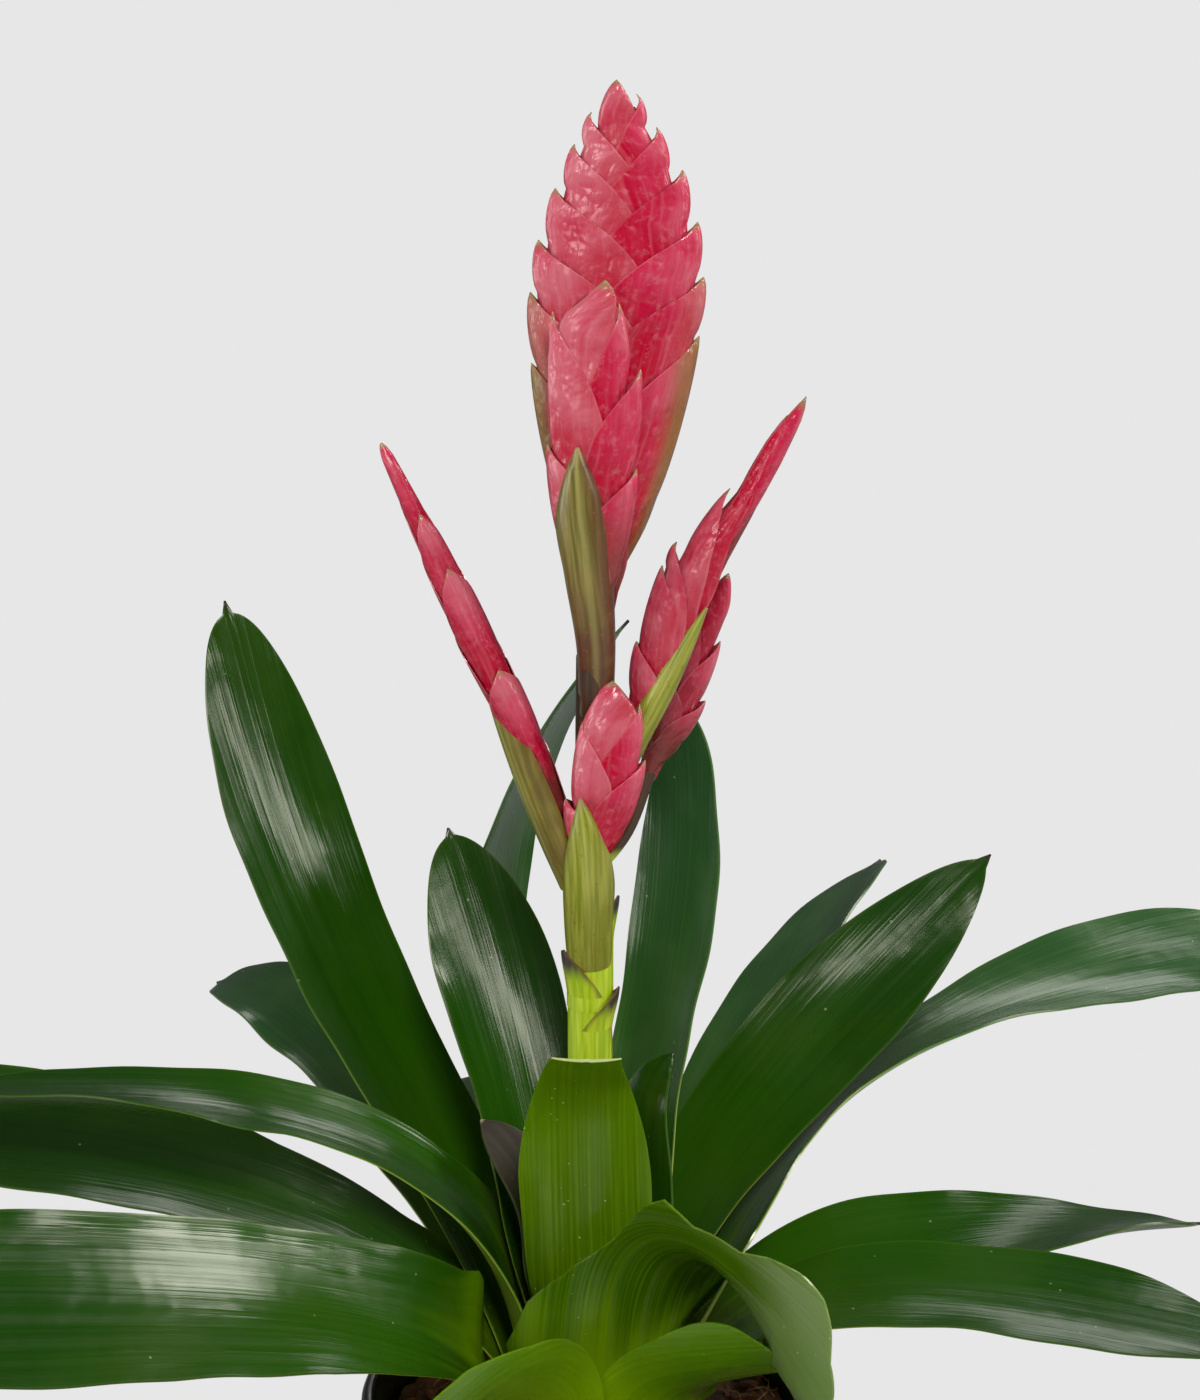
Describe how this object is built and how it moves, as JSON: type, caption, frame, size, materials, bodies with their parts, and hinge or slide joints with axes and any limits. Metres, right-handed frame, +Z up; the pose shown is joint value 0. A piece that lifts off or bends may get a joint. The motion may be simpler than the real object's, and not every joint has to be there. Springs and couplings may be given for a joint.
{
  "type": "potted vriesea",
  "caption": "Bromeliad house plant: arching strap leaves in a rosette round an upright stem of flattened pink bract spikes, in a plain tapered nursery pot.",
  "frame": {"origin": "centre of the pot's flat base, on the surface that the pot stands on", "axes": "+Z up along the flower stem; the flat faces of the middle spikes look along -Y, the side the plant is seen from; +X to the right as seen from there"},
  "size_m": [0.4065, 0.2711, 0.4464],
  "materials": {
    "pot_plastic": "thin black moulded plastic, slightly glossy",
    "potting_mix": "damp red-brown bark and coir",
    "leaf_green": "glossy leathery leaf, dark green with lengthwise veins",
    "leaf_light": "glossy leathery leaf, yellow-green towards its base",
    "stem_green": "smooth yellow-green stem and bracts, dark brown below the upper spikes",
    "bract_pink": "waxy coral pink bracts with olive edges and tips"
  },
  "bodies": {
    "root": {"pot": "pot_plastic", "soil": "potting_mix", "stalk": "stem_green", "leaf_cut_front": "leaf_light", "leaf_inner_left": "leaf_green", "leaf_inner_right": "leaf_green", "leaf_upright_left": "leaf_green", "leaf_tall_right_back": "leaf_green", "leaf_arch_back": "leaf_green", "leaf_band_left": "leaf_green", "leaf_big_right": "leaf_green", "leaf_front_curl": "leaf_light", "leaf_thin_right_back": "leaf_green", "leaf_tall_left": "leaf_green", "leaf_dark_left": "leaf_green", "leaf_far_right": "leaf_green", "leaf_wavy_left": "leaf_green", "leaf_back_right_low": "leaf_green", "leaf_low_right": "leaf_green", "leaf_low_right_back": "leaf_green", "leaf_big_left": "leaf_green", "leaf_back_left_low": "leaf_green", "leaf_front_right": "leaf_light", "leaf_back_low": "leaf_green", "leaf_front_left_low": "leaf_light", "leaf_front_small": "leaf_light", "spike_terminal": "bract_pink", "spike_upper_front": "bract_pink", "spike_left": "bract_pink", "spike_right": "bract_pink", "spike_right_rear": "bract_pink", "spike_front": "bract_pink"}
  },
  "joints": []
}
